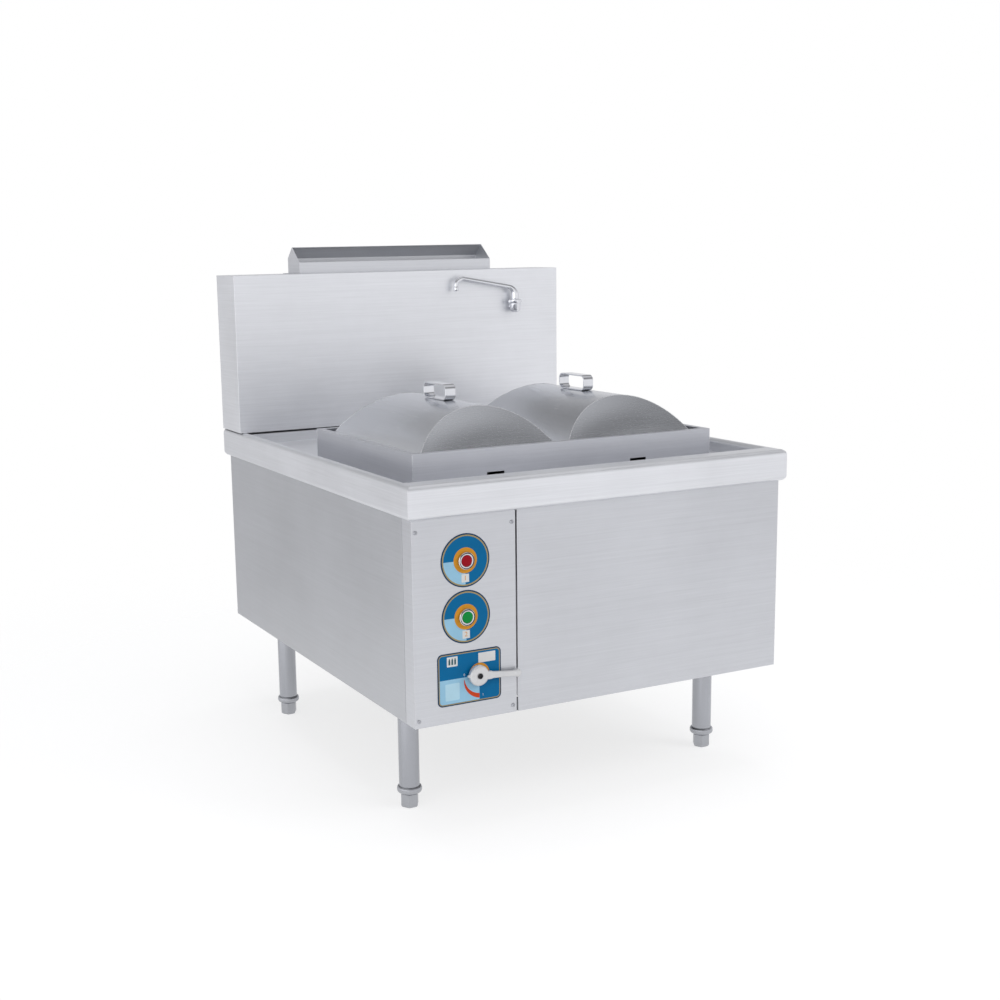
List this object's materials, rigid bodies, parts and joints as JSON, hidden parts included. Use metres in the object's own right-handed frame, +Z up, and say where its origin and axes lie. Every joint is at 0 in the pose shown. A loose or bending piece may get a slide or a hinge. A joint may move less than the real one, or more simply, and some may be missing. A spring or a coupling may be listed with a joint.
{
  "type": "rice steaming stove",
  "caption": "Free-standing gas steaming stove with a recessed worktop, domed lift-off lids over a water pan, splashback flue, swing spout and lever valve.",
  "frame": {"origin": "on the floor, under the middle of the bounding box", "axes": "+Z up, -Y towards the controls at the front, +X to the right of someone facing them"},
  "size_m": [1, 1.223, 1.278],
  "materials": {
    "brushed_sheet": "fine brushed grain",
    "bright_sheet": "bright rolled",
    "inner_sheet": "mill finish",
    "frame_steel": "primed",
    "chrome": "polished",
    "tube_steel": "drawn tube",
    "turned_steel": "turned",
    "brass": "cast and turned",
    "cast_iron": "as cast",
    "blue_film": "printed film",
    "black_plastic": "moulded",
    "red_cap": "moulded",
    "green_cap": "moulded",
    "lever_metal": "plated casting",
    "motor_paint": "enamel",
    "grey_plastic": "moulded"
  },
  "bodies": {
    "stove": {"worktop": "brushed_sheet", "base_frame": "frame_steel", "upper_frame": "frame_steel", "control_panel": "brushed_sheet", "front_panel": "brushed_sheet", "left_panel": "brushed_sheet", "right_panel": "brushed_sheet", "rear_panel": "inner_sheet", "panel_screws": "turned_steel", "steam_box": "brushed_sheet", "seat_deck": "inner_sheet", "steam_tray_left": "bright_sheet", "steam_tray_right": "bright_sheet", "water_pan": "inner_sheet", "drain_pipe": "tube_steel", "splashback": "brushed_sheet", "splashback_cover": "inner_sheet", "flue_outlet": "brushed_sheet", "flue_duct": "inner_sheet", "faucet_elbow": "chrome", "faucet_nut": "chrome", "water_supply_pipe": "tube_steel", "gas_supply_pipe": "tube_steel", "gas_feed_pipe": "tube_steel", "power_bezel": "turned_steel", "ignition_bezel": "turned_steel", "power_label": "blue_film", "ignition_label": "blue_film", "valve_label": "blue_film", "valve_body": "brass", "combustion_chamber": "frame_steel", "burner_head": "cast_iron", "blower_housing": "motor_paint", "air_duct": "inner_sheet", "blower_motor": "motor_paint", "electrical_box": "grey_plastic", "cable_gland": "black_plastic", "leg_end_rings": "turned_steel", "leg_front_left": "tube_steel", "leg_front_right": "tube_steel", "leg_rear_left": "tube_steel", "leg_rear_right": "tube_steel"},
    "lid_left_body": {"lid_left": "bright_sheet", "lid_handle_left": "chrome"},
    "lid_right_body": {"lid_right": "bright_sheet", "lid_handle_right": "chrome"},
    "spout": {"faucet_spout": "chrome"},
    "power_cap": {"power_button": "red_cap"},
    "ignition_cap": {"ignition_button": "green_cap"},
    "lever": {"valve_lever": "lever_metal", "lever_screw": "turned_steel", "valve_stem": "brass"},
    "wheel": {"blower_wheel": "inner_sheet"},
    "levelling_foot_front_left": {"foot_front_left": "turned_steel"},
    "levelling_foot_front_right": {"foot_front_right": "turned_steel"},
    "levelling_foot_rear_left": {"foot_rear_left": "turned_steel"},
    "levelling_foot_rear_right": {"foot_rear_right": "turned_steel"}
  },
  "joints": [
    {"name": "lid_left_lift", "type": "slide", "parent": "stove", "child": "lid_left_body", "axis": [0, 0, 1], "range_m": [0, 0.2]},
    {"name": "lid_right_lift", "type": "slide", "parent": "stove", "child": "lid_right_body", "axis": [0, 0, 1], "range_m": [0, 0.2]},
    {"name": "spout_swing", "type": "hinge", "parent": "stove", "child": "spout", "pos_m": [0.346, 0.4215, 1.107], "axis": [0, 0, 1], "range_deg": [0, 180]},
    {"name": "power_button_press", "type": "slide", "parent": "stove", "child": "power_cap", "axis": [0, 1, 0], "range_m": [0, 0.004], "stiffness_N_per_m": 400},
    {"name": "ignition_button_press", "type": "slide", "parent": "stove", "child": "ignition_cap", "axis": [0, 1, 0], "range_m": [0, 0.004], "stiffness_N_per_m": 400},
    {"name": "valve_lever_turn", "type": "hinge", "parent": "stove", "child": "lever", "pos_m": [-0.3365, -0.6035, 0.355], "axis": [0, -1, 0], "range_deg": [0, 90]},
    {"name": "blower_wheel_spin", "type": "hinge", "parent": "stove", "child": "wheel", "pos_m": [0.385, -0.1615, 0.384], "axis": [0, 1, 0], "continuous": true},
    {"name": "foot_front_left_adjust", "type": "slide", "parent": "stove", "child": "levelling_foot_front_left", "axis": [0, 0, -1], "range_m": [0, 0.025]},
    {"name": "foot_front_right_adjust", "type": "slide", "parent": "stove", "child": "levelling_foot_front_right", "axis": [0, 0, -1], "range_m": [0, 0.025]},
    {"name": "foot_rear_left_adjust", "type": "slide", "parent": "stove", "child": "levelling_foot_rear_left", "axis": [0, 0, -1], "range_m": [0, 0.025]},
    {"name": "foot_rear_right_adjust", "type": "slide", "parent": "stove", "child": "levelling_foot_rear_right", "axis": [0, 0, -1], "range_m": [0, 0.025]}
  ]
}
